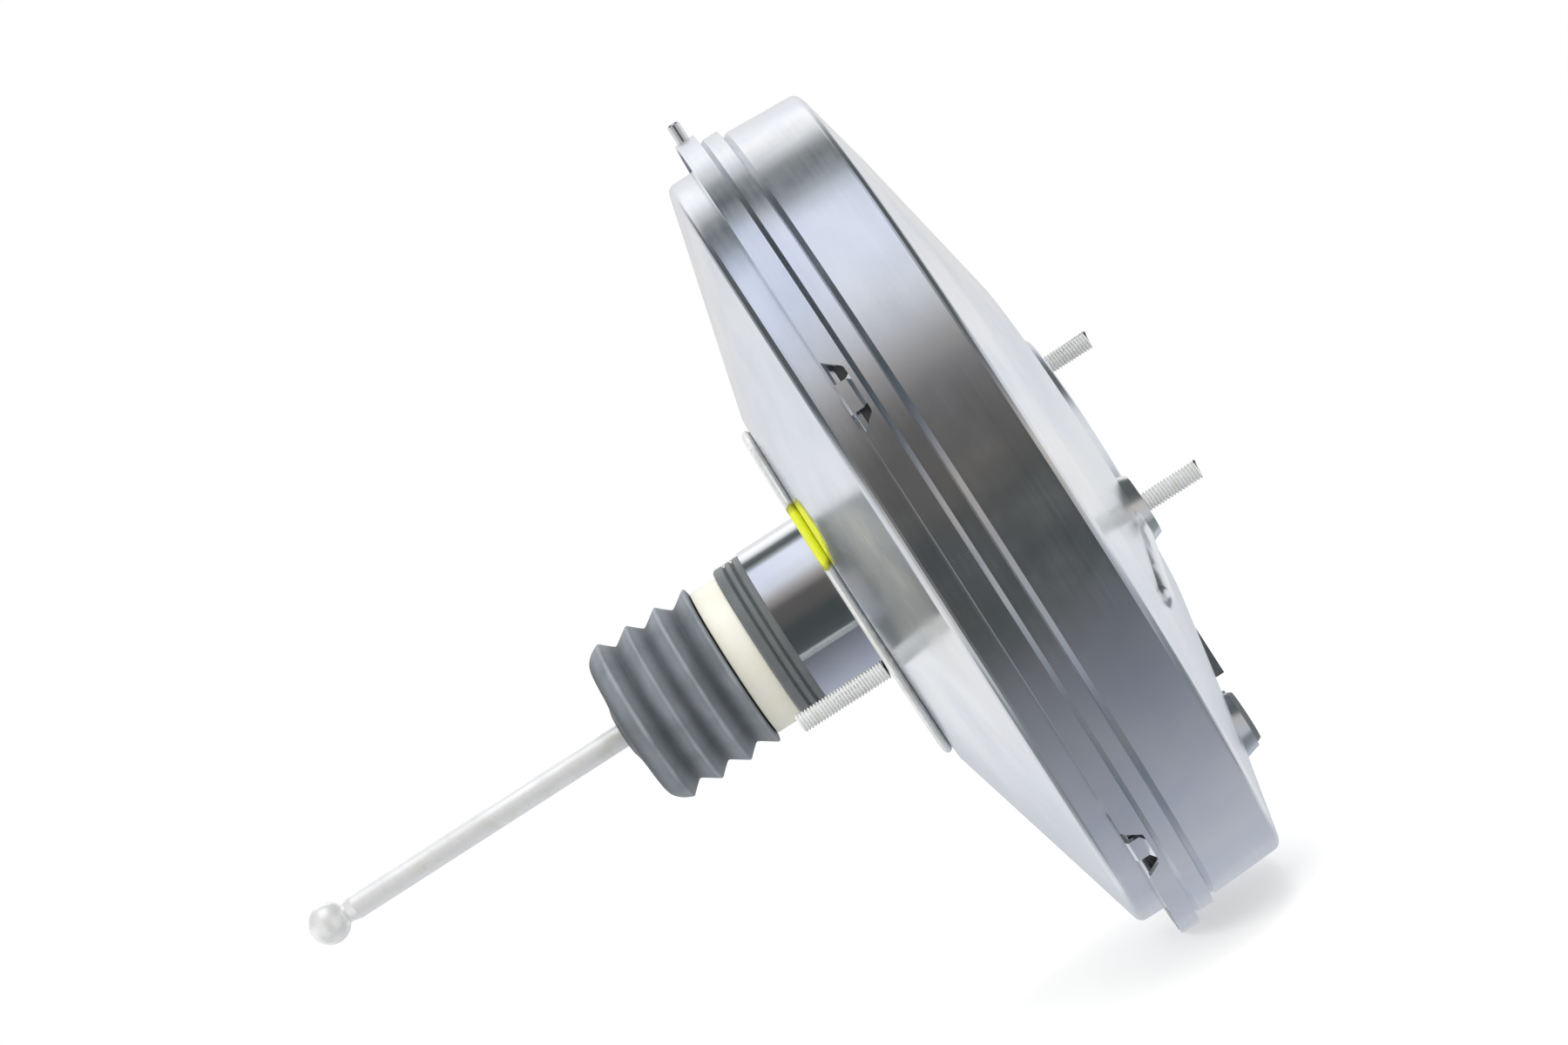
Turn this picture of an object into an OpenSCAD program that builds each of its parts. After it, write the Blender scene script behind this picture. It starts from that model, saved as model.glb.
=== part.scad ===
// Single-diaphragm vacuum brake booster, held together by two through bolts.
// The axis runs along X: the pedal rod points to -X, the master cylinder sits at +X,
// and the face that lies on the bulkhead is the plane x = 0.
// Round pieces are drawn about Z as [radius, station] outlines and then laid along X.

/* [Shells] */
// Thickness of the pressed steel of both shells
sheet = 1.2; // [1:0.1:1.4]
// Outer radius of the crimped lip, the widest ring of the booster
lip_r = 137.5; // [134:0.5:142]
// Drop in radius from the lip to the band in front of it
band_step = 2.8; // [2.4:0.1:3.2]
// Drop in radius from the band to the front wall
wall_step = 1.9; // [1.4:0.1:2.4]
// Length of the band between the two grooves
band_len = 7; // [6:0.5:9]
// Depth of the two rolled grooves
groove_d = 1; // [0.6:0.1:1.2]
// Length of the front wall, from the band to the corner of the dome
wall_len = 24.6; // [22:0.2:27]
// Draft of the front wall over its length
wall_draft = 1.3; // [0.5:0.1:2]
// Outer radius where the wall turns into the dome
corner_r = 2.5; // [2:0.5:4]
// Radius at which the steep shoulder of the dome ends
shoulder_r = 107; // [103:0.5:111]
// Rise of the steep shoulder
shoulder_h = 5.6; // [5:0.1:7]
// Radius at which the cone of the dome ends
dome_r = 56; // [54:0.5:60]
// Rise of the cone of the dome
dome_h = 10; // [9:0.1:12]
// Radius of the flat that carries the master cylinder
pad_r = 33; // [31:0.5:36]
// Height of that flat above the dome
pad_h = 3.3; // [2.6:0.1:4]

/* [Rear shell] */
// Width of the rear shell's flat outside the bolts' centres
flat_edge = 9.5; // [8:0.5:11]
// Depth of the rear cone
cone_depth = 18.3; // [16:0.1:21]
// Drop in radius from the lip to the rear rim behind the crimp
rim_step = 9; // [8:0.5:10]
// Length of that rim
rim_len = 9.3; // [8:0.1:11]
// Outer radius of the neck
neck_r = 27; // [26.5:0.1:27.8]
// Length of the neck behind the bulkhead face
neck_len = 20; // [18:0.5:26]

/* [Crimp] */
// Length of the lip behind the clamped flange
lip_over = 0.8; // [0.6:0.1:1.2]
// Thickness of the clamped bead of the diaphragm
bead_t = 3; // [2.6:0.1:3.4]
// Number of crimp notches in the lip
notch_count = 5; // [3:1:6]
// Angle between neighbouring notches
notch_pitch = 67.5; // [55:0.5:70]
// Angle of the first notch, counted from the bottom
notch_start = -110; // [-115:1:-105]
// Width of one notch at its front edge
notch_w = 15; // [14:0.1:16]
// Width that each slanted side of a notch adds towards the lip's edge
notch_slant = 4.2; // [3:0.1:5]
// Width of the bent tongue in a notch
tongue_w = 9.6; // [8:0.1:10.5]

/* [Mounting] */
// Thickness of the mounting plate
plate_t = 3; // [2.5:0.1:4]
// Width of the square mounting plate outside the bolts' centres
plate_edge = 6; // [5:0.5:8]
// Radius of the plate's corners
plate_corner = 48; // [44:1:50]
// Distance between the two through bolts
bolt_span = 100; // [98:0.5:102]
// Angle of the near bolt, counted from the bottom
bolt_angle = -61.9; // [-66:0.1:-58]
// Radius of the threaded ends of the through bolts
thread_r = 3; // [2.8:0.1:3.2]
// Radius of the polished middle of the through bolts
bolt_r = 3.5; // [3.3:0.1:3.9]
// Length of thread that stands out at the rear
rear_stud = 30; // [26:0.5:34]
// Length of thread that stands out at the front
front_stud = 19; // [15:0.5:24]
// Radius of the shoulders that grip the shells from inside
collar_r = 7; // [6:0.1:7.4]
// Thickness of those shoulders
collar_t = 2.5; // [2:0.1:3]
// Radius of the front opening for the master cylinder
opening_r = 20.5; // [19.5:0.1:21]
// Length of the collar drawn inwards round that opening
opening_len = 9; // [7:0.5:10]
// Radius of the flat top of a front bolt boss
boss_r = 9.5; // [8:0.1:10.5]
// Radius of the boss at its foot
boss_foot = 11; // [10.5:0.1:13]
// Distance from the axis to the end of the rib behind a boss
rib_reach = 97; // [88:1:102]
// Radius of the rib at its end
rib_r = 5; // [4:0.1:6]
// Height of the rib's end above the dome
rib_rise = 2.4; // [1.6:0.1:3.2]
// Height of the locating peg on the lip
peg_h = 6.5; // [4:0.5:8]
// Radius of that peg
peg_r = 2; // [1.8:0.1:2.6]
// Thickness of the strengthening plate behind the front flat
brace_t = 1.5; // [1.2:0.1:2]
// Radius of that plate's round middle
brace_r = 44; // [43:0.5:48]
// Thickness of the seal rings on the through bolts
seal_wire = 1.4; // [1.2:0.1:1.6]

/* [Vacuum port] */
// Distance of the port from the axis
port_dist = 95; // [93:0.5:97]
// Angle of the port, counted from the bottom
port_angle = -14; // [-18:1:-10]
// Outer radius of the port boss
port_r = 9.5; // [9:0.1:10]
// Radius of the hole in the grommet
port_hole = 4.5; // [4:0.1:5]
// Wall of the grommet inside the shell's hole
grommet_wall = 2.5; // [2.2:0.1:2.7]
// Height of the port boss above the steep shoulder
port_h = 4.9; // [4.7:0.1:6]
// Width of the pressed step beside the port
shelf_w = 34; // [30:0.5:38]
// Distance from the axis to the end of that step
shelf_reach = 79; // [75:0.5:81]
// Height of that step above the steep shoulder
shelf_h = 8.2; // [7.4:0.1:9]

/* [Neck seal and boot] */
// Outer radius of the grooved seal ring
seal_r = 26.3; // [25.9:0.1:26.8]
// Length of the seal ring behind the neck
seal_len = 9; // [8:0.5:10]
// Depth of the seal ring's sleeve in the neck
sleeve_len = 11; // [9:0.5:13]
// Outer radius of the boot's folds
boot_r = 27; // [26.4:0.1:28]
// Radius of the valleys between the folds
boot_valley = 22.9; // [22.6:0.1:23.6]
// Number of folds
boot_folds = 4; // [3:1:5]
// Distance between two folds
boot_pitch = 10; // [9.5:0.1:10.4]
// Gap between the seal ring and the boot
boot_gap = 9; // [8:0.5:11]
// Length of the rounded rear end of the boot
boot_end = 7.4; // [6:0.1:9]
// Wall of the boot
boot_wall = 1; // [0.9:0.1:1.1]

/* [Servo piston] */
// Travel of the servo piston
stroke = 34; // [30:0.5:36]
// Outer radius of the valve body's tube
tube_r = 24.3; // [24.1:0.1:24.3]
// Outer radius of its narrower end, which carries the boot
end_r = 20.5; // [20.1:0.1:20.8]
// Wall of that end
tube_wall = 2.1; // [1.8:0.1:2.3]
// Length of the tube behind the bulkhead face
tube_len = 62; // [58:0.5:64]
// Outer radius of the valve body's hub
hub_r = 30; // [28:0.5:31]
// Length of the hub's nose, which carries the rod's retainer
nose_len = 7; // [6:0.5:8]
// Gap between the hub and the strengthening plate at full travel
hub_gap = 2.8; // [2:0.1:4]
// Outer radius of the diaphragm plate
disc_r = 112; // [108:0.5:114]
// Height of the plate's rolled edge
disc_rim = 9; // [7:0.5:10]
// Thickness of the diaphragm plate
disc_t = 1; // [0.8:0.1:1.2]
// Thickness of the diaphragm's web
web_t = 1.5; // [1.2:0.1:1.8]
// Length of the sliding seals round the bolts, in front of the plate
gland_len = 7; // [6:0.5:8]
// Length of the retainer's skirt round the hub's nose
skirt_len = 4.5; // [4:0.1:5.5]

/* [Springs] */
// Wire diameter of the return spring
main_wire = 3.6; // [3:0.1:4]
// Gap between the stop key's end and the return spring
spring_gap = 2.2; // [1.6:0.1:3]
// Number of working coils of the return spring
main_turns = 5; // [4:0.5:6]
// Wire diameter of the two valve springs
fine_wire = 1.2; // [1:0.1:1.4]
// Number of coils of the two valve springs
fine_turns = 4; // [3:0.5:5]

/* [Control valve] */
// Travel of the valve plunger in the servo piston
valve_travel = 1.5; // [1:0.1:1.8]
// Radius of the plunger's guided head
plunger_r = 7.5; // [7:0.1:8]
// Radius of the reaction disc
disc_rubber_r = 14.8; // [13.5:0.1:15.5]
// Thickness of the reaction disc
disc_rubber_t = 6; // [5:0.1:7]
// Thickness of the stop key
key_t = 2.4; // [2:0.1:2.8]
// Width of the stop key
key_w = 16; // [14:0.5:18]
// Length of the cup that holds the poppet valve's bead
cup_len = 11; // [9:0.5:13]
// Distance from the valve chamber's step to the pedal rod's spring seat
seat_reach = 28; // [26:0.5:31]
// Radius of the rod's ball in the plunger
joint_ball_r = 5.5; // [5:0.1:5.8]
// Length of the air filter
filter_len = 10; // [8:0.5:12]
// Radius of the hole in the air filter
filter_hole = 9.5; // [8.5:0.1:10]

/* [Rods] */
// Radius of the pedal rod
rod_r = 3.8; // [3.5:0.1:4]
// Distance from the bulkhead face to the centre of the pedal ball
rod_reach = 181; // [170:1:195]
// Radius of the pedal ball
ball_r = 6.4; // [6:0.1:7]
// Radius of the output rod
out_r = 6; // [5:0.1:7]
// Thickness of the output rod's foot
rod_foot = 4; // [3:0.1:5]
// Radius of the adjusting screw's tip
tip_r = 4.5; // [3.5:0.1:5]
// Length of the adjusting screw's hexagon
hex_len = 4; // [3:0.1:5]
// Gap between the output rod's tip and the collar of the front opening
tip_gap = 2; // [1:0.1:4]

/* [Fits] */
// Radial clearance of a running fit
run_fit = 0.06; // [0.04:0.01:0.08]
// Clearance between soft or loose neighbours
loose = 0.3; // [0.25:0.05:0.4]

/* [Hidden] */
$fn = 96;
eps = 0.01;
// how far a cutter reaches past the sheet that it cuts
through = 14;
// stations of the rear shell and the crimp
rear_in = plate_t + sheet;
rim_x = plate_t + cone_depth;
flange_x = rim_x + rim_len;
lip_x = flange_x - lip_over;
seat_x = flange_x + sheet + bead_t;
band_x = seat_x + sheet;
wall_x = band_x + band_len;
corner_x = wall_x + wall_len;
// radii of the front shell's steps
band_r = lip_r - band_step;
wall_r = band_r - wall_step;
front_r = wall_r - wall_draft;
rim_r = lip_r - rim_step;
flange_r = lip_r - sheet - 2.3;
// stations of the dome, and of the inner side of the front flat
shoulder_x = corner_x + shoulder_h;
dome_x = shoulder_x + dome_h;
face_x = dome_x + pad_h;
face_in = face_x - sheet;
brace_x = dome_x - sheet - brace_t - 2 * eps;
tip_x = face_x - opening_len - tip_gap;
port_x = shoulder_x + port_h;
shelf_x = shoulder_x + shelf_h;
// the through bolts: the shank that fills the holes is a little thicker than the thread
bolt_dist = bolt_span / 2;
flat_r = bolt_dist + flat_edge;
plate_w = bolt_span + 2 * plate_edge;
shank_r = thread_r + 0.1;
rear_collar_x = rear_in + seal_wire;
front_collar_x = brace_x - seal_wire - collar_t;
// the servo piston at rest: retainer, diaphragm bead, plate, hub
stop_gap = 2.5;
ring_t = 1;
bead_x = rear_in + stop_gap + ring_t;
hub_bead = 3;
disc_x = bead_x + hub_bead;
hub_x = disc_x + disc_t;
hub_end = brace_x - stroke - hub_gap;
tube_in = end_r - tube_wall;
// the control valve at rest: chamber step, valve seat, floor, guide bore, key, reaction disc
step_x = -7;
seat_x0 = 3;
floor_x = seat_x0 + 1;
guide_x = 15.5;
key_x = guide_x + 2;
key_reach = hub_r + 3;
main_r = key_reach + spring_gap + main_wire / 2;
rubber_x = hub_end - disc_rubber_t - 4;
joint_x = 8;
chamber_r = 16.5;
seat_hole = 12.5;
// the seal, the boot and the air filter
seal_x = -neck_len - seal_len;
boot_x = seal_x - boot_gap;
boot_end_x = boot_x - (boot_folds - 1) * boot_pitch - boot_end;
tube_end = -tube_len;

// Basic shapes

module along_x() {
    rotate([0, 90, 0]) children();
}

module turned(outline, sides = 128) {
    along_x() rotate_extrude($fn = sides) polygon(outline);
}

module ring(x0, x1, inner, outer, sides = 96) {
    turned([[inner, x0], [outer, x0], [outer, x1], [inner, x1]], sides);
}

module disc(x0, x1, r) {
    translate([x0, 0, 0]) along_x() cylinder(h = x1 - x0, r = r);
}

// a place at a distance from the axis, at an angle counted from the bottom
module at_polar(dist, angle) {
    along_x() rotate([0, 0, angle]) translate([dist, 0, 0]) children();
}

module at_bolts() {
    for (side = [0, 180]) at_polar(bolt_dist, bolt_angle + side) children();
}

// the arc that rounds the corner b of the line a, b, c
function unit(v) = v / norm(v);
function rounded(a, b, c, r, n = 5) =
    let (u = unit(a - b), v = unit(c - b), half = acos(u * v) / 2)
    let (centre = b + unit(u + v) * r / sin(half), reach = r / tan(half))
    let (from = b + u * reach - centre, to = b + v * reach - centre)
    let (start = atan2(from[1], from[0]), end = atan2(to[1], to[0]))
    let (sweep = end - start - 360 * round((end - start) / 360))
    [for (i = [0:n]) centre + r * [cos(start + sweep * i / n), sin(start + sweep * i / n)]];

// an open line of [radius, station, rounding] points with its corners rounded
function rounded_line(line) = [for (i = [0:len(line) - 1])
    let (p = line[i], here = [p[0], p[1]])
    each i == 0 || i == len(line) - 1 || p[2] == 0 ? [here] :
        rounded([line[i - 1][0], line[i - 1][1]], here, [line[i + 1][0], line[i + 1][1]], p[2])];

function reversed(list) = [for (i = [len(list) - 1:-1:0]) list[i]];

// the closed outline between an outer and an inner line
function skin(outer, inner) = concat(rounded_line(outer), reversed(rounded_line(inner)));

// a line moved sideways by d, to its left as it runs: towards the axis where it runs forward
function heading(line, i) = unit([line[i + 1][0] - line[i][0], line[i + 1][1] - line[i][1]]);
function shifted(line, d) = [for (i = [0:len(line) - 1])
    let (u = heading(line, max(i - 1, 0)), v = heading(line, min(i, len(line) - 2)))
    let (bend = u[0] * v[1] - u[1] * v[0], sideways = [-u[1] - v[1], u[0] + v[0]] / (1 + u * v))
    [line[i][0] + d * sideways[0], line[i][1] + d * sideways[1],
        line[i][2] == 0 ? 0 : max(line[i][2] - sign(bend) * d, 0.2)]];

// the outline of a thin sheet whose outer face follows the line
function sheet_along(line, t) = skin(line, shifted(line, t));

function arc(centre, r, from, to, n = 6) =
    [for (i = [0:n]) let (a = from + (to - from) * i / n) centre + r * [cos(a), sin(a)]];

// a round wire along a helix with closed ends, from x0 to x1 over its outer faces
function coil_rise(turn, turns) =
    turn < 1 ? 0 : turn > turns - 1 ? 1 : (turn - 1) / (turns - 2);
module coil(x0, x1, r0, r1, wire, turns, sides = 8, per_turn = 20) {
    steps = round(turns * per_turn);
    low = x0 + wire / 2;
    closed = wire * 1.04;
    span = x1 - x0 - wire - 2 * closed;
    rings = [for (i = [0:steps])
        let (turn = turns * i / steps, rise = coil_rise(turn, turns), a = 360 * turn)
        let (dead = min(turn, 1) + max(turn - turns + 1, 0))
        let (x = low + closed * dead + span * rise, r = r0 + (r1 - r0) * rise)
        each [for (k = [0:sides - 1])
            let (b = 360 * k / sides, reach = r + wire / 2 * cos(b))
            [x + wire / 2 * sin(b), reach * cos(a), reach * sin(a)]]];
    walls = [for (i = [0:steps - 1]) each [for (k = [0:sides - 1])
        let (k2 = (k + 1) % sides, p = i * sides, q = p + sides)
        each [[p + k, q + k, q + k2], [p + k, q + k2, p + k2]]]];
    first_end = [for (k = [1:sides - 2]) [0, k, k + 1]];
    top = steps * sides;
    last_end = [for (k = [1:sides - 2]) [top, top + k + 1, top + k]];
    polyhedron(points = rings, faces = concat(walls, first_end, last_end), convexity = 10);
}

// Shells

// The pressed form of the front shell. inset shrinks every face by one sheet for its inner side.
function front_line(inset, back) = [
    [0, back, 0],
    [lip_r - inset, back, 0],
    [lip_r - inset, seat_x + sheet - inset, 0],
    [band_r - groove_d - inset, band_x - inset, 0],
    [band_r - inset, band_x + 1.6 - inset / 2, 0],
    [band_r - inset, wall_x - 0.6 - inset / 2, 0],
    [wall_r - groove_d - inset, wall_x, 0],
    [wall_r - inset, wall_x + 1.6, 0],
    [front_r - inset, corner_x - inset, corner_r - inset],
    [shoulder_r, shoulder_x - inset, 14],
    [dome_r, dome_x - inset, 8],
    [pad_r + pad_h, dome_x - inset, 2],
    [pad_r, face_x - inset, 2],
    [0, face_x - inset, 0]];

// station of the dome's cone at a distance from the axis
function dome_at(r) = dome_x - (r - dome_r) * dome_h / (shoulder_r - dome_r);

// a boss round each bolt, with a tapered rib that runs down the dome towards the rim
module bolt_boss(inset) {
    rib_len = rib_reach - bolt_dist;
    rib_x = face_x - boss_r - 0.4;
    rib_end_x = dome_at(rib_reach) + rib_rise - rib_r;
    rib_slope = atan((rib_x - rib_end_x) / rib_len);
    translate([0, 0, dome_x - root]) {
        cylinder(h = pad_h + root - inset, r1 = boss_foot + 2 - inset, r2 = boss_r - inset);
    }
    translate([0, 0, rib_x]) rotate([0, 90 + rib_slope, 0]) {
        cylinder(h = rib_len / cos(rib_slope), r1 = boss_r - inset, r2 = rib_r - inset, $fn = 48);
    }
    translate([rib_len, 0, rib_end_x]) sphere(r = rib_r - inset, $fn = 48);
}

// how far the pressed forms start below the dome
root = 6;

module shelf(inset) {
    translate([dome_r, -shelf_w / 2 + inset, shoulder_x - root]) {
        cube([shelf_reach - dome_r - inset, shelf_w - 2 * inset, shelf_h + root - inset]);
    }
}

module port_boss(inset) {
    translate([0, 0, shoulder_x - root]) {
        cylinder(h = port_h + root - inset, r1 = port_r + 3 - inset, r2 = port_r - inset);
    }
}

module front_form(inset, back) {
    turned(rounded_line(front_line(inset, back)), 180);
    at_bolts() bolt_boss(inset);
    along_x() shelf(inset);
    at_polar(port_dist, port_angle) port_boss(inset);
}

module at_notches() {
    for (i = [0:notch_count - 1]) at_polar(lip_r - 8, notch_start + i * notch_pitch) children();
}

// a cutter that runs outwards through the lip, drawn as [width, station]
module through_lip(outline) {
    rotate([90, 0, 90]) linear_extrude(16) polygon(outline);
}

// a notch opens towards the edge of the lip, with rounded corners on both sides
module notch() {
    front = notch_w / 2;
    back = front + notch_slant;
    deep = seat_x - loose;
    through_lip(rounded_line([
        [-back - 4, lip_x - 2, 0], [-back - 4, lip_x - 0.4, 0], [-back, lip_x + 0.1, 1.6],
        [-front, deep, 1.6], [front, deep, 1.6], [back, lip_x + 0.1, 1.6],
        [back + 4, lip_x - 0.4, 0], [back + 4, lip_x - 2, 0]]));
}

// the tongue of a notch: it steps down onto the clamped flange and hooks behind it
tongue_top = flange_r + loose + sheet;
tongue_outline = [
    [lip_r - 0.1, seat_x - loose], [lip_r - 0.1, band_x - 0.5], [flange_r + loose, band_x - 0.5],
    [flange_r + loose, flange_x - 0.2], [flange_r - 2.6, flange_x - 0.2], [flange_r - 2.6, lip_x - 0.6],
    [tongue_top - 0.7, lip_x - 0.6], [tongue_top, lip_x + 0.1], [tongue_top, seat_x - 1.5]];

// the locating peg at the top of the lip, with a chamfered end
module peg() {
    chamfer = 0.5;
    straight = peg_h + sheet / 2 - chamfer;
    translate([(lip_x + band_x) / 2, 0, lip_r - sheet / 2]) {
        cylinder(h = straight, r = peg_r, $fn = 32);
        translate([0, 0, straight]) cylinder(h = chamfer, r1 = peg_r, r2 = peg_r - chamfer, $fn = 32);
    }
}

module front_shell() {
    color("#c9ced2") {
        difference() {
            front_form(0, lip_x);
            front_form(sheet, lip_x - through);
            disc(face_x - 2 * through, face_x + 1, opening_r);
            at_bolts() translate([0, 0, face_x - through]) {
                cylinder(h = 2 * through, r = shank_r + loose);
            }
            at_polar(port_dist, port_angle) translate([0, 0, port_x - through]) {
                cylinder(h = 2 * through, r = port_hole + grommet_wall);
            }
            at_notches() notch();
        }
        ring(face_x - opening_len, face_in, opening_r, opening_r + sheet);
        peg();
        intersection() {
            turned(tongue_outline, 180);
            at_notches() through_lip([
                [-tongue_w / 2, lip_x - 2], [tongue_w / 2, lip_x - 2],
                [tongue_w / 2, band_x], [-tongue_w / 2, band_x]]);
        }
    }
}

// The rear shell: neck, flat, cone, rim and the flange that the crimp clamps
rear_line = [
    [neck_r, -neck_len, 0],
    [neck_r, plate_t, 2.2],
    [flat_r, plate_t, 8],
    [rim_r, rim_x, 3],
    [rim_r, flange_x, 1],
    [flange_r, flange_x, 0]];

module rear_shell() {
    color("#c4cacf") difference() {
        turned(sheet_along(rear_line, sheet), 180);
        at_bolts() translate([0, 0, plate_t - 1]) cylinder(h = sheet + 2, r = shank_r + loose);
    }
}

module rounded_square(w, r, h) {
    inner = w / 2 - r;
    outline = [for (q = [0:3])
        each arc(inner * [cos(90 * q + 45), sin(90 * q + 45)] * sqrt(2), r, 90 * q, 90 * q + 90, 10)];
    linear_extrude(h) polygon(outline);
}

module mounting_plate() {
    color("#dfe2e4") difference() {
        along_x() rounded_square(plate_w, plate_corner, plate_t);
        disc(-1, plate_t + 1, neck_r + 2.6);
        at_bolts() translate([0, 0, -1]) cylinder(h = plate_t + 2, r = shank_r + loose);
    }
}

// the outline round a middle disc and two bolt pads, joined by their common tangents
function belt(middle, pad, dist, n = 12) =
    let (a = acos((middle - pad) / dist))
    concat(arc([dist, 0], pad, -a, a, n), arc([0, 0], middle, a, 180 - a, n),
        arc([-dist, 0], pad, 180 - a, 180 + a, n), arc([0, 0], middle, 180 + a, 360 - a, n));

module front_brace() {
    brace_pad = collar_r + 2.6;
    color("#9aa0a5") difference() {
        along_x() rotate([0, 0, bolt_angle]) translate([0, 0, brace_x]) {
            linear_extrude(brace_t) polygon(belt(brace_r, brace_pad, bolt_dist));
        }
        disc(brace_x - 1, face_x, opening_r + sheet + 0.2);
        at_bolts() translate([0, 0, brace_x - 1]) cylinder(h = brace_t + 2, r = shank_r + loose);
    }
}

// Through bolts and their seals

module tie_bolt(side) {
    chamfer = 0.8;
    front_tip = face_x + front_stud;
    middle = rear_collar_x + collar_t;
    color("#b9bdc2") at_polar(bolt_dist, bolt_angle + side) rotate_extrude($fn = 64) polygon([
        [0, -rear_stud], [thread_r - chamfer, -rear_stud], [thread_r, chamfer - rear_stud],
        [thread_r, 0], [shank_r, 0], [shank_r, rear_collar_x], [collar_r, rear_collar_x],
        [collar_r, middle], [bolt_r, middle], [bolt_r, front_collar_x], [collar_r, front_collar_x],
        [collar_r, front_collar_x + collar_t], [shank_r, front_collar_x + collar_t],
        [shank_r, face_x], [thread_r, face_x], [thread_r, front_tip - chamfer],
        [thread_r - chamfer, front_tip], [0, front_tip]]);
}

module tie_bolt_near() tie_bolt(0);
module tie_bolt_far() tie_bolt(180);

module bolt_seal_rings() {
    mean = shank_r + seal_wire / 2;
    color("#26282a") at_bolts() {
        for (x = [rear_in, brace_x - seal_wire]) {
            translate([0, 0, x + seal_wire / 2]) rotate_extrude($fn = 48) {
                translate([mean, 0]) circle(r = seal_wire / 2 - eps, $fn = 24);
            }
        }
    }
}

// The neck: grooved seal ring, guide bush and boot

module neck_seal() {
    inner = tube_r + loose;
    neck_in = neck_r - sheet - eps;
    groove = 1;
    groove_w = 1.4;
    first = seal_x + 3;
    second = first + 2.6;
    color("#3a3d40") turned([
        [inner, seal_x], [seal_r - 0.6, seal_x], [seal_r, seal_x + 0.6],
        [seal_r, first], [seal_r - groove, first + groove_w / 2], [seal_r, first + groove_w],
        [seal_r, second], [seal_r - groove, second + groove_w / 2], [seal_r, second + groove_w],
        [seal_r, -neck_len - eps], [neck_in, -neck_len - eps], [neck_in, sleeve_len - neck_len],
        [inner, sleeve_len - neck_len]]);
}

module neck_bush() {
    color("#e9e4d4") ring(sleeve_len - neck_len + loose, -1, tube_r + run_fit, neck_r - sheet - eps);
}

// the boot's outer line: folds with a long and a short flank, then the rounded rear end
boot_line = concat(
    [[end_r + loose, boot_x - loose, 0]],
    [for (i = [0:boot_folds - 1]) each [
        [boot_r, boot_x - loose - 0.6 - i * boot_pitch, 0.9],
        if (i < boot_folds - 1) [boot_valley, boot_x - loose - 0.6 - (i + 0.6) * boot_pitch, 0.9]]],
    [[boot_r - 2.5, boot_end_x + 1.2, 3.5],
    [boot_r - 7, boot_end_x, 4],
    [rod_r + loose, boot_end_x, 0]]);

module boot() {
    color("#747c82") turned(sheet_along(boot_line, -boot_wall), 128);
}

// Diaphragm and its plate

// radius of the gland's groove, which grips the plate
gland_r = 8.6;
// the plate runs parallel to the rear cone
disc_flat = bolt_dist + gland_r + 3.2;
disc_slope = cone_depth / (rim_r - flat_r);
rim_start = disc_x + (disc_r - disc_flat) * disc_slope;
disc_line = [
    [tube_r + 0.1, disc_x, 0],
    [disc_flat, disc_x, 12],
    [disc_r, rim_start, 3],
    [disc_r, rim_start + disc_rim, 0]];

module diaphragm_plate() {
    color("#a7adb3") difference() {
        turned(sheet_along(disc_line, disc_t), 160);
        at_bolts() translate([0, 0, disc_x - 1]) cylinder(h = disc_t + 2, r = gland_r);
    }
}

// the diaphragm: clamped bead, rolling fold, web behind the plate and inner bead
fold_in = disc_r + loose + web_t;
fold_out = wall_r - groove_d - sheet - loose - web_t;
fold_r = (fold_out - fold_in) / 2 - 0.1;
fold_x = rim_start + disc_rim + 4;
diaphragm_line = [
    [hub_r - 0.6, disc_x - loose - web_t, 0],
    [disc_flat, disc_x - loose - web_t, 13],
    [fold_in, rim_start - loose - web_t, 3],
    [fold_in, fold_x + fold_r, fold_r],
    [fold_out, fold_x + fold_r, fold_r],
    [fold_out, seat_x - 0.8, 0]];

module diaphragm() {
    bead_in = rim_r - 0.6;
    bead_out = flange_r - loose;
    color("#2c2e30") difference() {
        union() {
            turned(sheet_along(diaphragm_line, web_t), 160);
            ring(flange_x + sheet + eps, seat_x - eps, bead_in, bead_out, 160);
            ring(bead_x + eps, disc_x - loose, tube_r + loose, hub_r);
        }
        at_bolts() translate([0, 0, rear_in]) cylinder(h = through, r = gland_r + 1.4);
    }
}

module bolt_glands() {
    inner = bolt_r + run_fit;
    front = disc_x + disc_t;
    color("#26282a") at_bolts() rotate_extrude($fn = 64) polygon([
        [inner, disc_x - 1.6], [gland_r + 1, disc_x - 1.6], [gland_r + 1, disc_x],
        [gland_r, disc_x], [gland_r, front], [gland_r + 1, front], [gland_r - 1, front + 1.5],
        [bolt_r + 2, front + gland_len], [inner, front + gland_len]]);
}

module plate_retainer() {
    color("#8d9296") ring(bead_x - ring_t, bead_x, tube_r + 0.02, hub_r - 1);
}

module return_spring() {
    color("#7d8388") coil(disc_x + disc_t + 0.1, brace_x - 0.1, main_r, main_r, main_wire,
        main_turns + 2, 8, 22);
}

// Valve body: tube, hub, valve chamber, air and vacuum passages and the key's slot

nose_r = disc_rubber_r + 3.7;
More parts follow.
